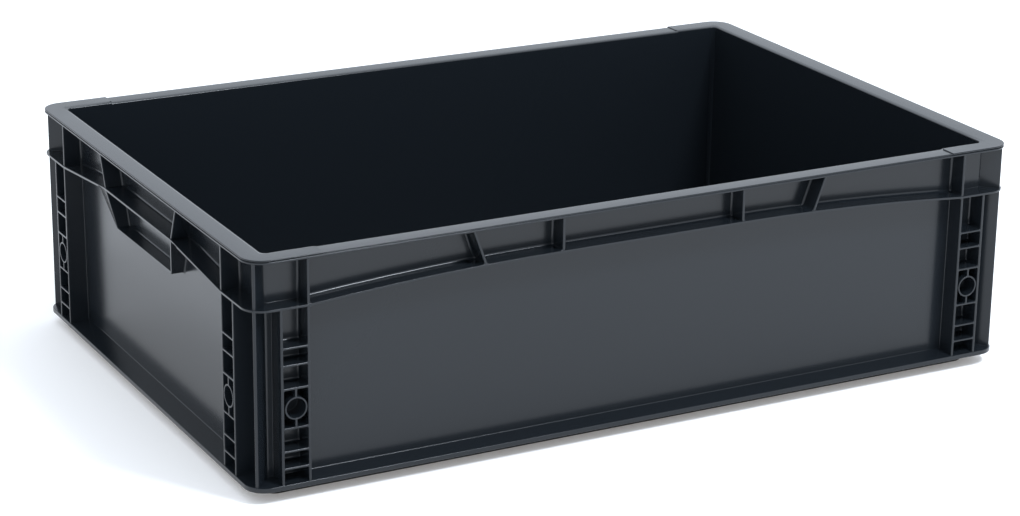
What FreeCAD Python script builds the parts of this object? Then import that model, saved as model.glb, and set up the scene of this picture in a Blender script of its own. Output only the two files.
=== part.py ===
import FreeCAD, Part
import math
import os
import Sketcher

# Stacking tote of conductive plastic, injection moulded in one piece.
# Millimetres, +Z up. The origin is the middle of the underside, where the box stands.
# X runs along the long sides and Y along the ends, which carry the grips.

SIZES = {
    # outside of the box
    "length": 600,
    "width": 400,
    "height": 170,
    "corner_radius": 15,

    # walls and floor of the tub
    "wall_thickness": 2,
    "wall_corner_radius": 4,
    "cavity_corner_radius": 4,
    "draft_angle": 0.4,
    "floor_thickness": 3,
    "floor_fillet": 2.5,

    # foot that drops into the mouth of the box below
    "foot_height": 9,
    "foot_clearance": 0.5,
    "foot_radius": 10,
    "foot_width": 10,
    "underside_recess": 7,

    # rim round the mouth: a lower lip and an upper plate with a groove between them
    "rim_thickness": 3,
    "rim_lip": 1.4,
    "rim_groove": 0.5,
    "rim_groove_depth": 0.6,
    "rim_land": 10,
    "rim_step": 1.2,
    "rim_step_radius": 5,
    "relief_from_end": 52.5,
    "relief_depth": 0.6,

    # flange round the bottom
    "flange_lip": 3.4,
    "flange_rise": 1.5,

    # upright ribs
    "rib_depth": 14,
    "rib_thickness": 2,
    "rib_setback": 0.6,
    "corner_rib_thickness": 2.3,
    "side_ladder_from_end": 41.5,
    "end_ladder_from_side": 49.5,
    "ladder_width": 19.2,
    "brace_from_middle": 71,
    "slant_top_from_middle": 139,
    "slant_foot_from_middle": 129.5,

    # band rib round the box, measured down from the rim
    "band_thickness": 1.6,
    "band_drop_corner": 34,
    "band_drop_side": 25.7,
    "band_drop_end": 25.5,

    # ring and rungs of each ladder
    "ring_height": 65.4,
    "ring_radius": 8,
    "ring_wall": 1.2,
    "stub_thickness": 1.5,
    "rung_thickness": 1.5,
    "rung_step_near": 13.8,
    "rung_step_middle": 30,
    "rung_step_far": 42,

    # grip in each end
    "grip_half_top": 73,
    "grip_half_ledge": 52,
    "grip_ledge_drop": 53,
    "grip_ledge_depth": 9.5,
    "grip_ledge_thickness": 2,
}


class Size:
    """A number together with the formula in the sheet that gives it."""

    def __init__(self, number, formula):
        self.number = number
        self.formula = formula

    def joined(self, sign, other, number):
        right = other.formula if isinstance(other, Size) else str(other)
        return Size(number, "(" + self.formula + " " + sign + " " + right + ")")

    def __add__(self, other):
        return self.joined("+", other, self.number + plain(other))

    def __sub__(self, other):
        return self.joined("-", other, self.number - plain(other))

    def __mul__(self, other):
        return self.joined("*", other, self.number * plain(other))

    def __truediv__(self, other):
        return self.joined("/", other, self.number / plain(other))


def plain(value):
    return value.number if isinstance(value, Size) else value


ZERO = Size(0, "0")


doc = FreeCAD.newDocument("tote_box")
sheet = doc.addObject("Spreadsheet::Sheet", "sizes")
size = {}
for row, (word, number) in enumerate(SIZES.items(), start=1):
    sheet.set("A%d" % row, word)
    sheet.set("B%d" % row, str(number))
    sheet.setAlias("B%d" % row, word)
    size[word] = Size(number, "sizes." + word)
doc.recompute()

body = doc.addObject("PartDesign::Body", "tote_box")
body.Label = "tote_box"
planes = {feature.Role: feature for feature in body.Origin.OriginFeatures}


def new_sketch(name, plane, offset=None):
    """Sketch on one of the body's own planes, moved along its normal by an offset."""
    sketch = body.newObject("Sketcher::SketchObject", name)
    sketch.AttachmentSupport = [(planes[plane], "")]
    sketch.MapMode = "FlatFace"
    if offset is not None:
        sketch.AttachmentOffset = FreeCAD.Placement(
            FreeCAD.Vector(0, 0, offset.number), FreeCAD.Rotation())
        sketch.setExpression("AttachmentOffset.Base.z", offset.formula)
    return sketch


def constrain(sketch, pairs):
    """Add each pair's constraint and bind it to the pair's size, where it has one."""
    first = sketch.ConstraintCount
    sketch.addConstraint([constraint for constraint, bound in pairs])
    for number, (constraint, bound) in enumerate(pairs, start=first):
        if bound is not None:
            sketch.setExpression("Constraints[%d]" % number, bound.formula)


def place(geometry, end, x, y):
    """Hold one end of an edge, or a circle's centre, at x, y from the sketch's origin."""
    return [
        (Sketcher.Constraint("DistanceX", -1, 1, geometry, end, x.number), x),
        (Sketcher.Constraint("DistanceY", -1, 1, geometry, end, y.number), y),
    ]


def circle_about(x, y, radius):
    return Part.Circle(FreeCAD.Vector(x, y, 0), FreeCAD.Vector(0, 0, 1), radius)


def draw_outline(sketch, corners, arcs=None):
    """Closed outline through corners. arcs names the edges that bulge, by number.

    Each arc is (centre x, centre y, radius, clockwise), and the others are straight.
    """
    arcs = arcs or {}
    first = sketch.GeometryCount
    points = [FreeCAD.Vector(x.number, y.number, 0) for x, y in corners]
    following = points[1:] + points[:1]
    geometry = []
    ends = []
    pairs = []
    for number, (start, stop) in enumerate(zip(points, following)):
        if number not in arcs:
            geometry.append(Part.LineSegment(start, stop))
            ends.append((1, 2))
            continue
        centre_x, centre_y, radius, clockwise = arcs[number]
        circle = circle_about(centre_x.number, centre_y.number, radius.number)
        begin, finish = (stop, start) if clockwise else (start, stop)
        geometry.append(Part.ArcOfCircle(
            circle, circle.parameter(begin), circle.parameter(finish)))
        ends.append((2, 1) if clockwise else (1, 2))
        pairs.append((Sketcher.Constraint(
            "DistanceX", -1, 1, first + number, 3, centre_x.number), centre_x))
    sketch.addGeometry(geometry)
    for number, (x, y) in enumerate(corners):
        before = (number - 1) % len(corners)
        pairs.append((Sketcher.Constraint(
            "Coincident", first + before, ends[before][1], first + number, ends[number][0]), None))
        pairs += place(first + number, ends[number][0], x, y)
    constrain(sketch, pairs)


def draw_box(sketch, left, bottom, right, top):
    draw_outline(sketch, [(left, bottom), (right, bottom), (right, top), (left, top)])


def draw_quarter(sketch, half_x, half_y, radius, past_middle):
    """Quarter of a rounded rectangle about the origin, run on past the middle planes."""
    past = past_middle * -1
    draw_outline(
        sketch,
        [(past, past), (half_x, past), (half_x, half_y - radius), (half_x - radius, half_y),
         (past, half_y)],
        arcs={2: (half_x - radius, half_y - radius, radius, False)})


def draw_circle(sketch, x, y, radius):
    number = sketch.GeometryCount
    sketch.addGeometry(circle_about(x.number, y.number, radius.number))
    pairs = place(number, 3, x, y)
    pairs.append((Sketcher.Constraint("Radius", number, radius.number), radius))
    constrain(sketch, pairs)


def add_feature(kind, name, sketch, depth, reverse=False, taper=None):
    """Pad or Pocket of a sketch. A Pocket that takes nothing away stops the build."""
    before = body.Shape.Volume if kind == "Pocket" else 0
    feature = body.newObject("PartDesign::" + kind, name)
    feature.Profile = sketch
    feature.Length = depth.number
    feature.setExpression("Length", depth.formula)
    feature.Reversed = reverse
    if taper is not None:
        feature.TaperAngle = taper.number
        feature.setExpression("TaperAngle", taper.formula)
    doc.recompute()
    if kind == "Pocket" and body.Shape.Volume >= before:
        raise RuntimeError(name + " cuts nothing")
    return feature


# One quarter is modelled, where X and Y are positive, and mirrored twice at the end.
# Until then its tub runs on past the middle planes, to be cut flush with them.
overrun = size["rib_depth"]
half_length = size["length"] / 2
half_width = size["width"] / 2
flange_top = size["foot_height"] + size["flange_lip"]
flange_inside = size["foot_height"] + size["flange_lip"] / 2
floor_top = size["underside_recess"] + size["floor_thickness"]
rim_underside = size["height"] - size["rim_thickness"]
rim_inside = size["height"] - size["rim_thickness"] / 2
mouth_inset = size["rib_depth"] + size["wall_thickness"]
foot_inset = mouth_inset + size["foot_clearance"]

# ribs start behind the rim's edge and run on into the wall, so that its draft leaves no gap
rib_face_inset = size["rib_setback"]
rib_run = mouth_inset + size["wall_thickness"]

band_top_corner = size["height"] - size["band_drop_corner"]
band_top_side = size["height"] - size["band_drop_side"]
band_top_end = size["height"] - size["band_drop_end"]
side_ladder = half_length - size["side_ladder_from_end"]
end_ladder = half_width - size["end_ladder_from_side"]

# the band's arch on the long sides: level between the braces, then an arc tangent to that
arch_start = size["brace_from_middle"]
arch_run = side_ladder - arch_start
arch_fall = band_top_side - band_top_corner
arch_radius = (arch_run * arch_run + arch_fall * arch_fall) / (arch_fall * 2)


def build_tub():
    """Foot, sloped flange and tapered walls, still solid inside."""
    sketch = new_sketch("foot_outline", "XY_Plane")
    draw_quarter(
        sketch, half_length - foot_inset, half_width - foot_inset, size["foot_radius"], overrun)
    add_feature("Pad", "foot", sketch, flange_top)

    sketch = new_sketch("flange_outline", "XY_Plane", size["foot_height"])
    draw_quarter(sketch, half_length, half_width, size["corner_radius"], overrun)
    add_feature("Pad", "flange", sketch, size["flange_lip"])

    wall_half_length = half_length - size["rib_depth"]
    wall_half_width = half_width - size["rib_depth"]
    wall_radius = size["wall_corner_radius"]
    lower = new_sketch("slope_lower_outline", "XY_Plane", flange_top)
    draw_quarter(lower, half_length, half_width, size["corner_radius"], overrun)
    upper = new_sketch("slope_upper_outline", "XY_Plane", flange_top + size["flange_rise"])
    draw_quarter(upper, wall_half_length, wall_half_width, wall_radius, overrun)
    slope = body.newObject("PartDesign::AdditiveLoft", "flange_slope")
    slope.Profile = lower
    slope.Sections = [upper]
    slope.Ruled = True

    sketch = new_sketch("wall_outline", "XY_Plane", size["height"])
    draw_quarter(sketch, wall_half_length, wall_half_width, wall_radius, overrun)
    add_feature(
        "Pad", "walls", sketch, size["height"] - flange_top, reverse=True,
        taper=size["draft_angle"] * -1)


# Each wall of the quarter has a plane at its outside face, whose pads run inwards:
# (name, origin plane, distance of the outside face along its normal, pad reversed)
SIDE_WALL = ("side", "XZ_Plane", half_width * -1, False)
END_WALL = ("end", "YZ_Plane", half_length, True)


def pad_from_outside(wall, name, inset, draw):
    """Pad inwards from a wall's outside face, with a sketch that draw fills in."""
    side_name, plane, face, reverse = wall
    offset = face - inset if reverse else face + inset
    sketch = new_sketch(side_name + "_" + name + "_outline", plane, offset)
    draw(sketch)
    return add_feature("Pad", side_name + "_" + name, sketch, rib_run - inset, reverse=reverse)


def build_side_band():
    """Band rib of a long side, arched between the ladders and level at the corner."""
    band = size["band_thickness"]
    centre = band_top_side - arch_radius

    def draw(sketch):
        corners = [
            (ZERO, band_top_side), (arch_start, band_top_side), (side_ladder, band_top_corner),
            (half_length, band_top_corner), (half_length, band_top_corner - band),
            (side_ladder, band_top_corner - band), (arch_start, band_top_side - band),
            (ZERO, band_top_side - band)]
        draw_outline(sketch, corners, arcs={
            1: (arch_start, centre, arch_radius, True),
            5: (arch_start, centre - band, arch_radius, False)})

    pad_from_outside(SIDE_WALL, "band", ZERO, draw)


def build_end_band():
    """Band rib of an end: level across the grip, then sloping down to the ladder."""
    band = size["band_thickness"]

    def draw(sketch):
        upper = [
            (ZERO, band_top_end), (grip_half_at(band_top_end), band_top_end),
            (end_ladder, band_top_corner), (half_width, band_top_corner)]
        lower = [(y, z - band) for y, z in reversed(upper)]
        draw_outline(sketch, upper + lower)

    pad_from_outside(END_WALL, "band", ZERO, draw)


def draw_upright(sketch, middle, bottom, top):
    half = size["rib_thickness"] / 2
    draw_box(sketch, middle - half, bottom, middle + half, top)


def draw_slant(sketch, foot_middle, bottom, top_middle, top):
    half = size["rib_thickness"] / 2
    draw_outline(sketch, [
        (foot_middle - half, bottom), (foot_middle + half, bottom),
        (top_middle + half, top), (top_middle - half, top)])


def build_ladder(wall, inner_rib):
    """Two uprights with rungs between them and a ring held by two stubs."""
    outer_rib = inner_rib + size["ladder_width"]
    ring_middle = inner_rib + size["ladder_width"] / 2
    inside_band = band_top_corner - size["band_thickness"] / 2

    def draw_uprights(sketch):
        draw_upright(sketch, inner_rib, flange_inside, rim_inside)
        draw_upright(sketch, outer_rib, flange_inside, inside_band)

    def draw_rungs(sketch):
        half = size["rung_thickness"] / 2
        for word in ("rung_step_near", "rung_step_middle", "rung_step_far"):
            for direction in (-1, 1):
                middle = size["ring_height"] + size[word] * direction
                draw_box(sketch, inner_rib, middle - half, outer_rib, middle + half)

    def draw_stubs(sketch):
        half = size["stub_thickness"] / 2
        draw_box(
            sketch, ring_middle - half, size["ring_height"] - size["rung_step_near"],
            ring_middle + half, size["ring_height"] + size["rung_step_near"])

    def draw_ring(sketch):
        draw_circle(sketch, ring_middle, size["ring_height"], size["ring_radius"])

    pad_from_outside(wall, "uprights", rib_face_inset, draw_uprights)
    pad_from_outside(wall, "rungs", rib_face_inset, draw_rungs)
    pad_from_outside(wall, "stubs", rib_face_inset, draw_stubs)
    pad_from_outside(wall, "ring", rib_face_inset, draw_ring)

    side_name, plane, face, reverse = wall
    bore_face = face - rib_face_inset if reverse else face + rib_face_inset
    sketch = new_sketch(side_name + "_bore_outline", plane, bore_face)
    draw_circle(
        sketch, ring_middle, size["ring_height"], size["ring_radius"] - size["ring_wall"])
    add_feature(
        "Pocket", side_name + "_bore", sketch, size["rib_depth"] - rib_face_inset,
        reverse=not reverse)


def arch_height(x):
    """Top face of the long sides' band at x, where its arc is nearly a parabola."""
    return band_top_side - (x - arch_start) * (x - arch_start) / (arch_radius * 2)


def build_side_braces():
    """Upright and leaning rib between the rim and the arch."""
    half_band = size["band_thickness"] / 2
    slant_foot = size["slant_foot_from_middle"]

    def draw(sketch):
        draw_upright(sketch, size["brace_from_middle"], band_top_side - half_band, rim_inside)
        draw_slant(
            sketch, slant_foot, arch_height(slant_foot) - half_band,
            size["slant_top_from_middle"], rim_inside)

    pad_from_outside(SIDE_WALL, "braces", rib_face_inset, draw)


def grip_half_at(height):
    """Half the grip's width at a height. Its two ribs lean together towards the ledge."""
    lean = (size["grip_half_top"] - size["grip_half_ledge"]) / size["grip_ledge_drop"]
    return size["grip_half_top"] - lean * (size["height"] * 1 - height)


def build_grip():
    """Leaning ribs and a ledge below the band, which fingers reach up behind."""
    ledge_top = size["height"] - size["grip_ledge_drop"]
    ledge_bottom = ledge_top - size["grip_ledge_thickness"]
    band_bottom = band_top_end - size["band_thickness"]

    def draw_ribs(sketch):
        draw_slant(
            sketch, grip_half_at(ledge_bottom), ledge_bottom, grip_half_at(rim_inside), rim_inside)

    def draw_ledge(sketch):
        draw_box(sketch, ZERO, ledge_bottom, grip_half_at(ledge_top), ledge_top)

    pad_from_outside(END_WALL, "grip_ribs", rib_face_inset, draw_ribs)
    pad_from_outside(END_WALL, "grip_ledge", rib_face_inset, draw_ledge)

    # below the band the grip's front leans back to the ledge, which stands out less
    front_top = half_length - rib_face_inset
    front_ledge = half_length - size["rib_depth"] + size["grip_ledge_depth"]
    clear = size["rib_thickness"]
    sketch = new_sketch("grip_taper_outline", "XZ_Plane")
    draw_outline(sketch, [
        (front_top, band_bottom), (front_ledge, ledge_top), (front_ledge, ledge_bottom - clear),
        (half_length + clear, ledge_bottom - clear), (half_length + clear, band_bottom)])
    add_feature("Pocket", "grip_taper", sketch, size["grip_half_top"] + clear)


def build_corner_rib():
    """Rib on the corner's diagonal, from the wall out to the round of the rim."""
    bite = 1 - 1 / math.sqrt(2)
    half = size["corner_rib_thickness"] / 2 / math.sqrt(2)
    tip = size["corner_radius"] * bite + rib_face_inset
    heel = rib_run
    tip_x, tip_y = half_length - tip, half_width - tip
    heel_x, heel_y = half_length - heel, half_width - heel
    sketch = new_sketch("corner_rib_outline", "XY_Plane", flange_inside)
    draw_outline(sketch, [
        (heel_x - half, heel_y + half), (heel_x + half, heel_y - half),
        (tip_x + half, tip_y - half), (tip_x - half, tip_y + half)])
    add_feature("Pad", "corner_rib", sketch, rim_inside - flange_inside)


def round_band_corner():
    """Give the band the same round at the corner as the rim and the flange."""
    radius = size["corner_radius"]
    clear = size["rib_thickness"]
    sketch = new_sketch("corner_round_outline", "XY_Plane")
    draw_outline(
        sketch,
        [(half_length, half_width - radius), (half_length + clear, half_width - radius),
         (half_length + clear, half_width + clear), (half_length - radius, half_width + clear),
         (half_length - radius, half_width)],
        arcs={4: (half_length - radius, half_width - radius, radius, True)})
    add_feature("Pocket", "corner_round", sketch, size["height"], reverse=True)


def build_rim():
    """Rim with a groove round its edge, a little lower along the middle of the long sides."""
    groove_bottom = rim_underside + size["rim_lip"]
    groove_top = groove_bottom + size["rim_groove"]
    groove_inset = size["rim_groove_depth"]

    sketch = new_sketch("rim_lip_outline", "XY_Plane", rim_underside)
    draw_quarter(sketch, half_length, half_width, size["corner_radius"], overrun)
    add_feature("Pad", "rim_lip", sketch, size["rim_lip"])

    sketch = new_sketch("rim_neck_outline", "XY_Plane", groove_bottom)
    draw_quarter(
        sketch, half_length - groove_inset, half_width - groove_inset,
        size["corner_radius"] - groove_inset, overrun)
    add_feature("Pad", "rim_neck", sketch, size["rim_groove"])

    sketch = new_sketch("rim_plate_outline", "XY_Plane", groove_top)
    draw_quarter(sketch, half_length, half_width, size["corner_radius"], overrun)
    add_feature("Pad", "rim_plate", sketch, size["height"] - groove_top)

    # between the raised corners of a long side the plate is lower and stands back to the groove
    relief_half = half_length - size["relief_from_end"]
    past = overrun * -2
    sketch = new_sketch("rim_relief_outline", "XY_Plane", size["height"])
    draw_box(sketch, past, past, relief_half, half_width + overrun)
    add_feature("Pocket", "rim_relief", sketch, size["relief_depth"])
    sketch = new_sketch("rim_setback_outline", "XY_Plane", size["height"])
    draw_box(sketch, past, half_width - groove_inset, relief_half, half_width + overrun)
    add_feature("Pocket", "rim_setback", sketch, size["height"] - groove_bottom)


def hollow_tub():
    """Space inside, the step round its mouth and the recess under the floor."""
    sketch = new_sketch("rim_step_outline", "XY_Plane", size["height"])
    draw_quarter(
        sketch, half_length - size["rim_land"], half_width - size["rim_land"],
        size["rim_step_radius"], overrun * 2)
    add_feature("Pocket", "rim_step", sketch, size["rim_step"])

    sketch = new_sketch("cavity_outline", "XY_Plane", size["height"])
    draw_quarter(
        sketch, half_length - mouth_inset, half_width - mouth_inset,
        size["cavity_corner_radius"], overrun * 2)
    cavity = add_feature(
        "Pocket", "cavity", sketch, size["height"] - floor_top, taper=size["draft_angle"] * -1)

    floor = max(
        (face for face in cavity.Shape.Faces
         if abs(face.BoundBox.ZMin - floor_top.number) < 0.001
         and face.BoundBox.ZLength < 0.001
         and face.normalAt(0, 0).z > 0),
        key=lambda face: face.Area)
    wall_edges = [
        edge for edge in floor.Edges if edge.BoundBox.XMax > 0 and edge.BoundBox.YMax > 0]
    names = [
        "Edge%d" % number for number, edge in enumerate(cavity.Shape.Edges, start=1)
        if any(edge.isSame(wall_edge) for wall_edge in wall_edges)]
    fillet = body.newObject("PartDesign::Fillet", "floor_round")
    fillet.Base = (cavity, names)
    fillet.Radius = size["floor_fillet"].number
    fillet.setExpression("Radius", size["floor_fillet"].formula)
    doc.recompute()

    inset = foot_inset + size["foot_width"]
    sketch = new_sketch("underside_outline", "XY_Plane")
    draw_quarter(
        sketch, half_length - inset, half_width - inset, size["foot_radius"], overrun * 2)
    add_feature("Pocket", "underside", sketch, size["underside_recess"], reverse=True)


def cut_at_middle():
    """Cut the quarter off flush at both middle planes."""
    past = overrun * -2
    far_x, far_y = half_length + overrun, half_width + overrun
    sketch = new_sketch("middle_cut_outline", "XY_Plane")
    draw_outline(sketch, [
        (past, past), (far_x, past), (far_x, ZERO), (ZERO, ZERO), (ZERO, far_y), (past, far_y)])
    add_feature("Pocket", "middle_cut", sketch, size["height"], reverse=True)


def mirror_all(name, plane):
    """Mirror everything built so far and join it to itself."""
    mirrored = body.newObject("PartDesign::Mirrored", name)
    mirrored.TransformMode = "Whole shape"
    mirrored.MirrorPlane = (planes[plane], [""])
    body.Tip = mirrored
    doc.recompute()


def check_and_write():
    """Stop at a failed object or a broken shape, else write the part's file."""
    doc.recompute()
    for item in doc.Objects:
        if "Invalid" in item.State or "Error" in item.State:
            raise RuntimeError(item.Name + " failed")
    shape = body.Shape
    if shape.isNull() or not shape.isValid() or len(shape.Solids) != 1:
        raise RuntimeError("the tote is not one valid solid")
    os.makedirs("parts", exist_ok=True)
    shape.exportStep("parts/" + body.Label + ".step")
    print("%s: %d faces, %.0f mm3" % (body.Label, len(shape.Faces), shape.Volume))


build_tub()
build_side_band()
build_side_braces()
build_ladder(SIDE_WALL, side_ladder)
build_end_band()
build_grip()
build_ladder(END_WALL, end_ladder)
build_corner_rib()
round_band_corner()
build_rim()
hollow_tub()
cut_at_middle()
mirror_all("mirrored_lengthwise", "YZ_Plane")
mirror_all("mirrored_across", "XZ_Plane")
check_and_write()
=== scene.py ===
import math

import bmesh
import bpy
from mathutils import Euler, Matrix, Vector


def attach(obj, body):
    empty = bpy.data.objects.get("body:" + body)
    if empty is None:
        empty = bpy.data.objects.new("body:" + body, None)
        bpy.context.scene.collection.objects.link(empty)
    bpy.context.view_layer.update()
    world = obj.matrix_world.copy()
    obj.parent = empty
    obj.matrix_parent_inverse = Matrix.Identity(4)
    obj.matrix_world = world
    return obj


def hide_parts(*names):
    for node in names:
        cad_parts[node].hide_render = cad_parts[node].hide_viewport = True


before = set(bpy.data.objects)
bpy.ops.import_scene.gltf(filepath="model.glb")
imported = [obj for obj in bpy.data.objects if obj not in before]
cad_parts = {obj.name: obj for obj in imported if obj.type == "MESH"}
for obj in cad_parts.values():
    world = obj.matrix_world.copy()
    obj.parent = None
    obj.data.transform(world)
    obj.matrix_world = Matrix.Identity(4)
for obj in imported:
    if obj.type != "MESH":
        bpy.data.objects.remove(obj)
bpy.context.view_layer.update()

MM = 0.001

# Round edges of the moulding, in mm: the fillet where two walls meet, and the worn edge of the tool's steel
ROOT_FILLET = 1.8
EDGE_ROUND = 0.55
BEVEL_WIDTH = 1.0
BEVEL_SEGMENTS = 3
# A bevel takes at most this share of the face beside it, or these where an outer edge faces a root
EVEN_SHARE = 0.42
OUTER_SHARE = 0.8
INNER_SHARE = 0.15
# A line of folded edges is at least this many times as long as its bevel is wide
LINE_TO_BEVEL = 8
# The rings in the ladders of ribs: their places along the long side walls and the end walls, in mm
SIDE_RING_X = 268.1
END_RING_Y = 160.1
# The rim, in mm: the middles of its corners, the radii of its groove before and after it is deepened,
# and the heights of the groove's two sides
CORNER_MIDDLE = (285, 185)
GROOVE_RADIUS = 14.4
DEEP_GROOVE_RADIUS = 13.9
LIP_TOP = 168.4
GROOVE_TOP = 168.9
# Along the long sides its plate is lower and stands back as far as the groove, up to a riser at each end
LOW_PLATE = 169.4
HIGH_PLATE = 170
SET_BACK_END = 246
RISER_PLACE = 247.5
RAMP_END = 249
# The step inside the mouth becomes a soft shoulder: the step's height and radius, then the shoulder's
# radius and its fall towards the cavity
STEP_HEIGHT = 168.8
STEP_RADIUS = 5
SHOULDER_RADIUS = 2
SHOULDER_FALL = 0.8
# Places and heights of the rim that differ by less than this are the same, in mm
SAME_PLACE = 0.01
# Corners nearer than this are one, in metres, and folds flatter than this are none, in radians
NEAR = 0.002 * MM
FLAT = math.radians(0.3)
# Folds flatter than this are facets of one curved wall, in degrees
FACET_ANGLE = 30
# Edges that turn by less than this at a corner run on as one line, in degrees
RUN_ON_ANGLE = 35

# The satin grain of the moulding: drawn coarser than the real one, which is too fine for the picture
GRAIN_SIZE_MM = 1.2
GRAIN_DEPTH_MM = 0.02

# The photograph's view, fitted to the rim, the ladders and the flange of the box
CAMERA_PLACE_MM = (-962.9, -1789.1, 771.5)
CAMERA_TURN = (70.84, -0.70, -27.91)
CAMERA_LENS_MM = 101.34
CAMERA_SENSOR_MM = 36

FLOOR_SIZE_MM = 9000

# Colour of the studio's light, the radiance of its white walls and ceiling, and the small softbox in front
COOL_WHITE = "#edf5ff"
STUDIO_LIGHT = 1.4
SOFTBOX_PLACE_MM = (620, -1330, 2020)
SOFTBOX_AIM_MM = (0, 0, 80)
SOFTBOX_SIZE_MM = 500
SOFTBOX_POWER = 50


def linear_colour(code):
    """The linear colour of an sRGB hex code, with full alpha."""
    channels = [int(code[place:place + 2], 16) / 255 for place in (1, 3, 5)]
    linear = [value / 12.92 if value <= 0.04045 else ((value + 0.055) / 1.055) ** 2.4 for value in channels]
    return (*linear, 1.0)


def add_node(tree, kind, inputs=None, **settings):
    """A node with its settings, its socket values and its links: an input that is a socket is linked."""
    node = tree.nodes.new(kind)
    for name, value in settings.items():
        setattr(node, name, value)
    for name, value in (inputs or {}).items():
        if isinstance(value, bpy.types.NodeSocket):
            tree.links.new(value, node.inputs[name])
        else:
            node.inputs[name].default_value = value
    return node


def new_material(name):
    """An empty material and its tree, with the output node."""
    material = bpy.data.materials.new(name)
    material.use_nodes = True
    tree = material.node_tree
    tree.nodes.clear()
    return material, tree, add_node(tree, "ShaderNodeOutputMaterial")


def moulded_polypropylene():
    """Carbon-filled polypropylene, injection moulded: charcoal, with the satin of a spark-eroded tool."""
    material, tree, output = new_material("moulded_conductive_polypropylene")
    place = add_node(tree, "ShaderNodeTexCoord").outputs["Object"]
    grain = add_node(
        tree,
        "ShaderNodeTexNoise",
        {"Vector": place, "Scale": 1 / (GRAIN_SIZE_MM * MM), "Detail": 2.0, "Roughness": 0.5},
    )
    relief = add_node(
        tree,
        "ShaderNodeBump",
        {"Height": grain.outputs["Fac"], "Strength": 0.25, "Distance": GRAIN_DEPTH_MM * MM},
    )
    shader = add_node(
        tree,
        "ShaderNodeBsdfPrincipled",
        {
            "Base Color": linear_colour("#15191d"),
            "Roughness": 0.2,
            "IOR": 1.39,
            "Normal": relief.outputs["Normal"],
        },
    )
    tree.links.new(shader.outputs["BSDF"], output.inputs["Surface"])
    return material


def white_acrylic():
    """White acrylic of a light table: matt, lit a little from below, so that the box's shadow stays soft."""
    material, tree, output = new_material("white_acrylic_light_table")
    shader = add_node(
        tree,
        "ShaderNodeBsdfPrincipled",
        {
            "Base Color": linear_colour("#f4f4f4"),
            "Roughness": 0.9,
            "Emission Color": linear_colour("#fff6ec"),
            "Emission Strength": 0.16,
        },
    )
    tree.links.new(shader.outputs["BSDF"], output.inputs["Surface"])
    return material


def turn_between(edge, other, corner):
    """By how many degrees the line turns where another edge goes on from this one at their shared corner."""
    here = edge.other_vert(corner).co - corner.co
    there = other.other_vert(corner).co - corner.co
    return math.degrees(here.angle(-there))


def lines_of(folds):
    """Numbers the lines of folded edges that run on from one another."""
    lines = {}
    for start in folds:
        if start in lines:
            continue
        number = len(lines)
        lines[start] = number
        reached = [start]
        while reached:
            edge = reached.pop()
            for corner in edge.verts:
                for other in corner.link_edges:
                    if other in lines or other not in folds or folds[other] * folds[edge] < 0:
                        continue
                    if turn_between(edge, other, corner) < RUN_ON_ANGLE:
                        lines[other] = number
                        reached.append(other)
    return lines


def point_to_edge(point, edge):
    """Distance from a point to the nearest point of an edge."""
    start, end = (corner.co for corner in edge.verts)
    along = end - start
    share = max(0.0, min(1.0, (point - start).dot(along) / along.length_squared))
    return (point - start - along * share).length


def room_beside(edge, folds, lines):
    """How wide a bevel the faces and the other lines beside a folded edge leave it, in metres."""
    room = [1.0]
    for face in edge.link_faces:
        for other in face.edges:
            if other is edge or lines.get(other) == lines[edge]:
                continue
            gaps = [point_to_edge(corner.co, edge) for corner in other.verts if corner not in edge.verts]
            if not set(edge.verts) & set(other.verts):
                gaps += [point_to_edge(corner.co, other) for corner in edge.verts]
            share = EVEN_SHARE
            if folds.get(other, 0) * folds[edge] < 0:
                share = OUTER_SHARE if folds[edge] > 0 else INNER_SHARE
            room.append(min(gaps) * share)
    return min(room)


def weigh_bevels(shape):
    """Gives each line of folded edges one bevel width: fillets inside, small rounds outside."""
    share = shape.edges.layers.float.new("bevel_weight_edge")
    folds = {}
    for edge in shape.edges:
        fold = math.degrees(edge.calc_face_angle_signed())
        if abs(fold) > FACET_ANGLE:
            folds[edge] = fold
    lines = lines_of(folds)
    lengths = dict.fromkeys(lines.values(), 0.0)
    for edge in folds:
        lengths[lines[edge]] += edge.calc_length() / MM
    widths = {}
    for edge, fold in folds.items():
        wanted = min(EDGE_ROUND if fold > 0 else ROOT_FILLET, lengths[lines[edge]] / LINE_TO_BEVEL)
        width = min(wanted, room_beside(edge, folds, lines) / MM)
        widths[lines[edge]] = min(width, widths.get(lines[edge], width))
    for edge in folds:
        edge[share] = widths[lines[edge]] / BEVEL_WIDTH


def cut_across(shape, place_mm):
    """Cuts the faces along a plane through a place, and gives a test of whether an edge lies in it."""
    place = Vector(place_mm) * MM
    across = place.normalized()
    bmesh.ops.bisect_plane(
        shape, geom=[*shape.verts, *shape.edges, *shape.faces], dist=NEAR, plane_co=place, plane_no=across
    )
    return lambda edge: all(abs((corner.co - place).dot(across)) < 2 * NEAR for corner in edge.verts)


def join_flat_faces(shape):
    """Joins each flat face's triangles. Cuts through the ladders' rings keep openings out of the faces."""
    on_a_cut = [
        cut_across(shape, place)
        for side in (1, -1)
        for place in ((side * SIDE_RING_X, 0, 0), (0, side * END_RING_Y, 0))
    ]
    flat = [
        edge
        for edge in shape.edges
        if edge.calc_face_angle() < FLAT and not any(lies_in(edge) for lies_in in on_a_cut)
    ]
    bmesh.ops.dissolve_edges(shape, edges=flat, use_verts=True)


def is_near(value, wanted):
    """Whether two sizes of the rim in mm are as good as the same."""
    return abs(value - wanted) < SAME_PLACE


def radius_of(corner):
    """Distance in mm of a corner from the middles of the rim's corners, or the lines between them."""
    place = corner.co / MM
    return math.hypot(*(max(abs(place[axis]) - CORNER_MIDDLE[axis], 0) for axis in (0, 1)))


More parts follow.
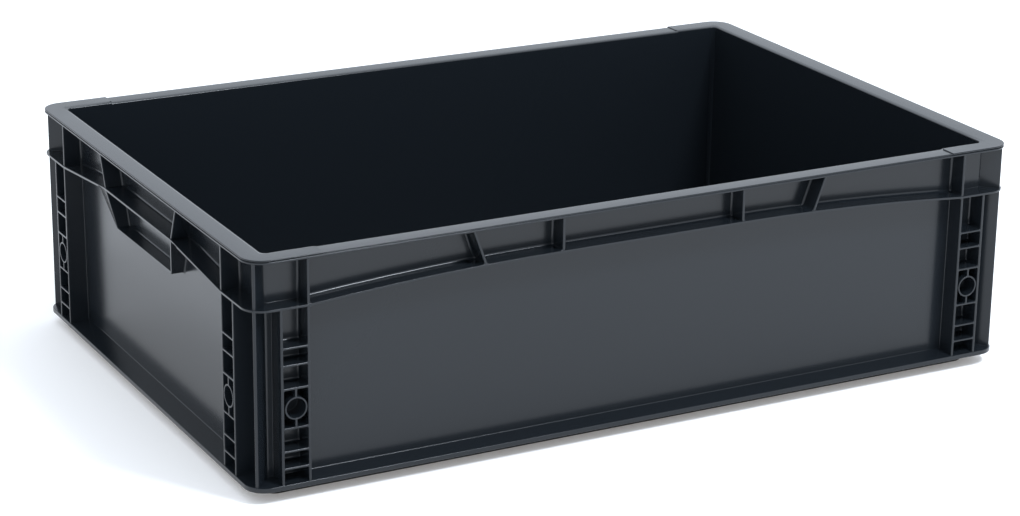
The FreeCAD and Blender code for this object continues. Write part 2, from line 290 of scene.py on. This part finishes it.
def move_round_the_corners(corner, radius):
    """Moves a corner of the rim in or out, to a radius about the middle of the rim's round corners."""
    place = corner.co / MM
    beyond = Vector([max(abs(place[axis]) - CORNER_MIDDLE[axis], 0) for axis in (0, 1)])
    beyond *= radius / beyond.length
    for axis in (0, 1):
        if beyond[axis] > 0:
            corner.co[axis] = math.copysign(CORNER_MIDDLE[axis] + beyond[axis], place[axis]) * MM


def cut_rim(shape):
    """Cuts across the box where the set-back, the riser and the shoulder's ramp of the long sides end."""
    for place in (SET_BACK_END, RISER_PLACE, RAMP_END):
        cut_across(shape, (place, 0, 0))
        cut_across(shape, (-place, 0, 0))


def soften_mouth(shape):
    """Turns the step inside the mouth into a soft shoulder that falls towards the cavity."""
    for corner in shape.verts:
        height = corner.co.z / MM
        plate = LOW_PLATE if abs(corner.co.x / MM) < RISER_PLACE + SAME_PLACE else HIGH_PLATE
        if height > STEP_HEIGHT - SAME_PLACE and is_near(radius_of(corner), STEP_RADIUS):
            move_round_the_corners(corner, SHOULDER_RADIUS)
            corner.co.z = max(height, plate) * MM
        elif is_near(height, STEP_HEIGHT):
            corner.co.z = (plate - SHOULDER_FALL) * MM
    bmesh.ops.remove_doubles(shape, verts=shape.verts, dist=NEAR)


def deepen_groove(shape):
    """Deepens the groove round the rim, and the plate's set-back behind the lip on the long sides."""
    for corner in shape.verts:
        x, height = abs(corner.co.x / MM), corner.co.z / MM
        in_groove = is_near(height, LIP_TOP) or is_near(height, GROOVE_TOP) or x < SET_BACK_END + SAME_PLACE
        if height > LIP_TOP - SAME_PLACE and is_near(radius_of(corner), GROOVE_RADIUS) and in_groove:
            move_round_the_corners(corner, DEEP_GROOVE_RADIUS)


def box_moulding():
    """The whole box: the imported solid's own mesh, merged, with rounded edges and filleted roots."""
    shape = bmesh.new()
    shape.from_mesh(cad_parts["tote_box"].data)
    bmesh.ops.remove_doubles(shape, verts=shape.verts, dist=NEAR)
    # Faces that are joined first get new corners from the rim's cuts only along their borders
    join_flat_faces(shape)
    cut_rim(shape)
    soften_mouth(shape)
    deepen_groove(shape)
    join_flat_faces(shape)
    weigh_bevels(shape)
    mesh = bpy.data.meshes.new("tote_box_moulding")
    shape.to_mesh(mesh)
    shape.free()
    mesh.shade_smooth()
    piece = bpy.data.objects.new("tote_box_moulding", mesh)
    bpy.context.collection.objects.link(piece)
    bevel = piece.modifiers.new("rounded_edges", "BEVEL")
    bevel.limit_method = "WEIGHT"
    bevel.width = BEVEL_WIDTH * MM
    bevel.segments = BEVEL_SEGMENTS
    bevel.profile = 0.5
    bevel.use_clamp_overlap = False
    normals = piece.modifiers.new("even_normals", "WEIGHTED_NORMAL")
    normals.keep_sharp = True
    return piece


def lay_floor():
    """The floor under the box."""
    shape = bmesh.new()
    bmesh.ops.create_grid(shape, x_segments=1, y_segments=1, size=FLOOR_SIZE_MM / 2 * MM)
    mesh = bpy.data.meshes.new("floor")
    shape.to_mesh(mesh)
    shape.free()
    floor = bpy.data.objects.new("floor", mesh)
    bpy.context.collection.objects.link(floor)
    mesh.materials.append(white_acrylic())


def light_studio():
    """A bright cool white studio, and a small square softbox that draws the fine highlights."""
    world = bpy.data.worlds.new("white_studio")
    bpy.context.scene.world = world
    world.use_nodes = True
    tree = world.node_tree
    tree.nodes.clear()
    walls = add_node(
        tree, "ShaderNodeBackground", {"Color": linear_colour(COOL_WHITE), "Strength": STUDIO_LIGHT}
    )
    add_node(tree, "ShaderNodeOutputWorld", {"Surface": walls.outputs["Background"]})
    light = bpy.data.lights.new("softbox", "AREA")
    light.shape = "SQUARE"
    light.size = SOFTBOX_SIZE_MM * MM
    light.energy = SOFTBOX_POWER
    light.color = linear_colour(COOL_WHITE)[:3]
    softbox = bpy.data.objects.new("softbox", light)
    softbox.location = Vector(SOFTBOX_PLACE_MM) * MM
    beam = Vector(SOFTBOX_AIM_MM) - Vector(SOFTBOX_PLACE_MM)
    softbox.rotation_euler = beam.to_track_quat("-Z", "Y").to_euler()
    bpy.context.collection.objects.link(softbox)
    bpy.context.scene.view_settings.view_transform = "Standard"


def place_camera():
    """The camera at the photograph's view."""
    lens = bpy.data.cameras.new("photo_view")
    lens.lens = CAMERA_LENS_MM
    lens.sensor_width = CAMERA_SENSOR_MM
    camera = bpy.data.objects.new("photo_view", lens)
    camera.location = Vector(CAMERA_PLACE_MM) * MM
    camera.rotation_euler = Euler([math.radians(turn) for turn in CAMERA_TURN])
    bpy.context.collection.objects.link(camera)
    bpy.context.scene.camera = camera


box = box_moulding()
box.data.materials.clear()
box.data.materials.append(moulded_polypropylene())
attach(box, "root")
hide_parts("tote_box")

lay_floor()
light_studio()
place_camera()
